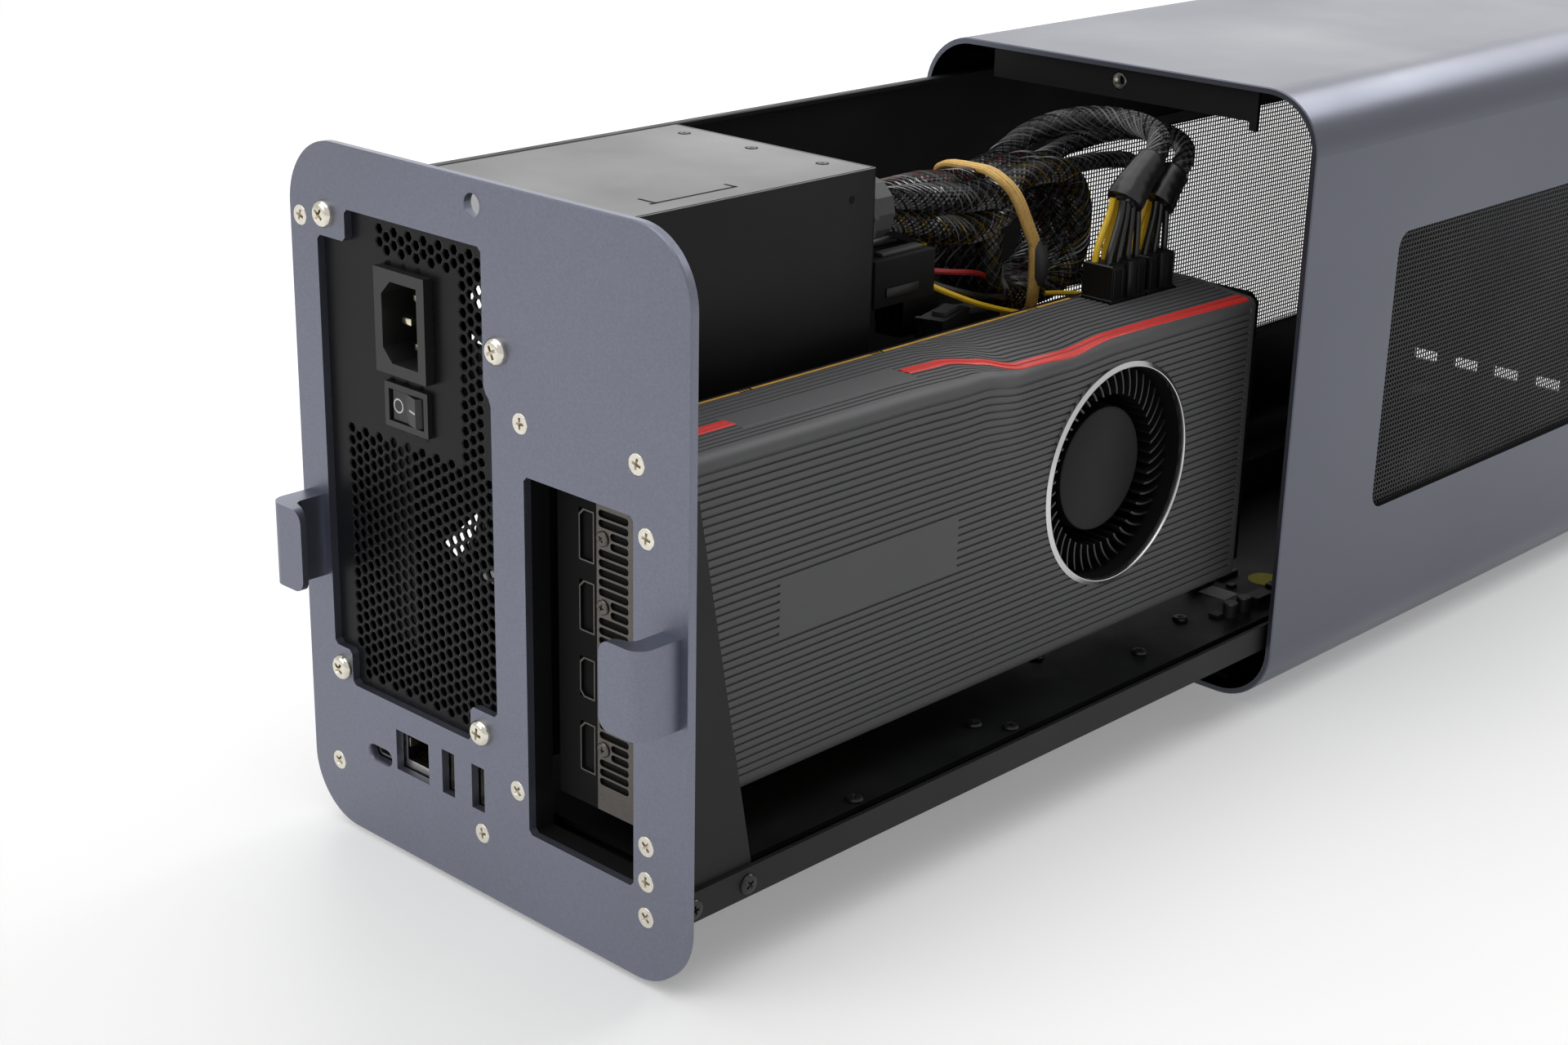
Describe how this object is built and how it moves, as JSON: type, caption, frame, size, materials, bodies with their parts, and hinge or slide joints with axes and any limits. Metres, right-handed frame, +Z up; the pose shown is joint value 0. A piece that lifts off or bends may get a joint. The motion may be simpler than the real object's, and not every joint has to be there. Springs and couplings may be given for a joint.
{
  "type": "external graphics card enclosure",
  "caption": "Metal desktop case for an external graphics card: a drawer with power supply, board and card slides out of a rounded sleeve with mesh side windows.",
  "frame": {"origin": "on the table below the middle of the whole, with the drawer out as in the picture", "axes": "+X right seen from the rear plate, +Y from the plate into the sleeve, +Z up"},
  "size_m": [0.164, 0.6406, 0.2122],
  "materials": {
    "shell_aluminium": "bead-blasted blue-grey anodised",
    "plate_aluminium": "bead-blasted blue-grey anodised",
    "mesh_black": "matt black perforated sheet",
    "frame_black": "matt black powder coat",
    "skid_plastic": "smooth black",
    "foot_rubber": "matt",
    "screw_steel": "bright plated",
    "screw_flush": "plated grey",
    "screw_black": "black oxide",
    "standoff_brass": "turned",
    "board_green": "dark solder mask",
    "socket_plastic": "moulded black",
    "socket_steel": "plated sheet",
    "psu_black": "textured black powder coat",
    "inlet_plastic": "moulded black",
    "pin_brass": "plated",
    "fan_plastic": "moulded black",
    "sink_aluminium": "mill finish",
    "grommet_rubber": "moulded dark grey",
    "card_board_tan": "bare edge of a circuit board",
    "card_black": "satin black",
    "shroud_silver": "satin grey ribbed",
    "stripe_red": "red",
    "ring_chrome": "polished",
    "braid_black": "braided sleeve",
    "tie_tan": "woven band"
  },
  "bodies": {
    "shell": {"outer_shell": "shell_aluminium", "front_panel": "shell_aluminium", "window_mesh_left": "mesh_black", "window_mesh_right": "mesh_black", "catch_bracket": "frame_black", "shell_rail_left": "frame_black", "shell_rail_right": "frame_black", "rubber_feet": "foot_rubber"},
    "drawer": {"rear_plate": "plate_aluminium", "pull_left": "plate_aluminium", "pull_right": "plate_aluminium", "base_tray": "frame_black", "left_side_panel": "frame_black", "card_frame": "frame_black", "card_gusset": "frame_black", "tray_skid_left": "skid_plastic", "tray_skid_right": "skid_plastic", "psu_screws": "screw_steel", "plate_screws": "screw_flush", "tray_screws": "screw_black", "board_standoffs": "standoff_brass", "main_board": "board_green", "psu_board": "board_green", "card_socket": "socket_plastic", "power_sockets": "socket_plastic", "plug_a": "socket_plastic", "plug_b": "socket_plastic", "spare_plugs": "socket_plastic", "type_c_socket": "socket_steel", "network_jack": "socket_steel", "type_a_sockets": "socket_steel", "display_sockets": "socket_steel", "video_socket": "socket_steel", "psu_base": "psu_black", "psu_cover": "psu_black", "psu_fan_guard": "psu_black", "power_inlet": "inlet_plastic", "switch_frame": "inlet_plastic", "inlet_pins": "pin_brass", "psu_fan_frame": "fan_plastic", "fan_motor": "fan_plastic", "psu_heat_sinks": "sink_aluminium", "card_heat_sink": "sink_aluminium", "cable_grommet": "grommet_rubber", "card_board": "card_board_tan", "card_back_plate": "card_black", "card_end_cap": "card_black", "card_bracket": "card_black", "card_shroud": "shroud_silver", "accent_stripe": "stripe_red", "fan_ring": "ring_chrome", "harness_bundle": "braid_black", "harness_loop": "braid_black", "power_lead_a": "braid_black", "power_lead_b": "braid_black", "harness_hank": "braid_black", "harness_tie": "tie_tan"},
    "card_fan": {"fan_wheel": "fan_plastic"},
    "psu_fan": {"psu_fan_rotor": "fan_plastic"},
    "power_switch": {"switch_rocker": "inlet_plastic"}
  },
  "joints": [
    {"name": "drawer_slide", "type": "slide", "parent": "shell", "child": "drawer", "axis": [0, 1, 0], "range_m": [-0.03, 0.2732]},
    {"name": "card_fan_spin", "type": "hinge", "parent": "drawer", "child": "card_fan", "pos_m": [0.0435, -0.09685, 0.0974], "axis": [1, 0, 0], "continuous": true},
    {"name": "psu_fan_spin", "type": "hinge", "parent": "drawer", "child": "psu_fan", "pos_m": [-0.0585, -0.23325, 0.1224], "axis": [1, 0, 0], "continuous": true},
    {"name": "switch_tilt", "type": "hinge", "parent": "drawer", "child": "power_switch", "pos_m": [-0.0324, -0.30085, 0.1414], "axis": [0, 0, 1], "range_deg": [0, 16]}
  ]
}
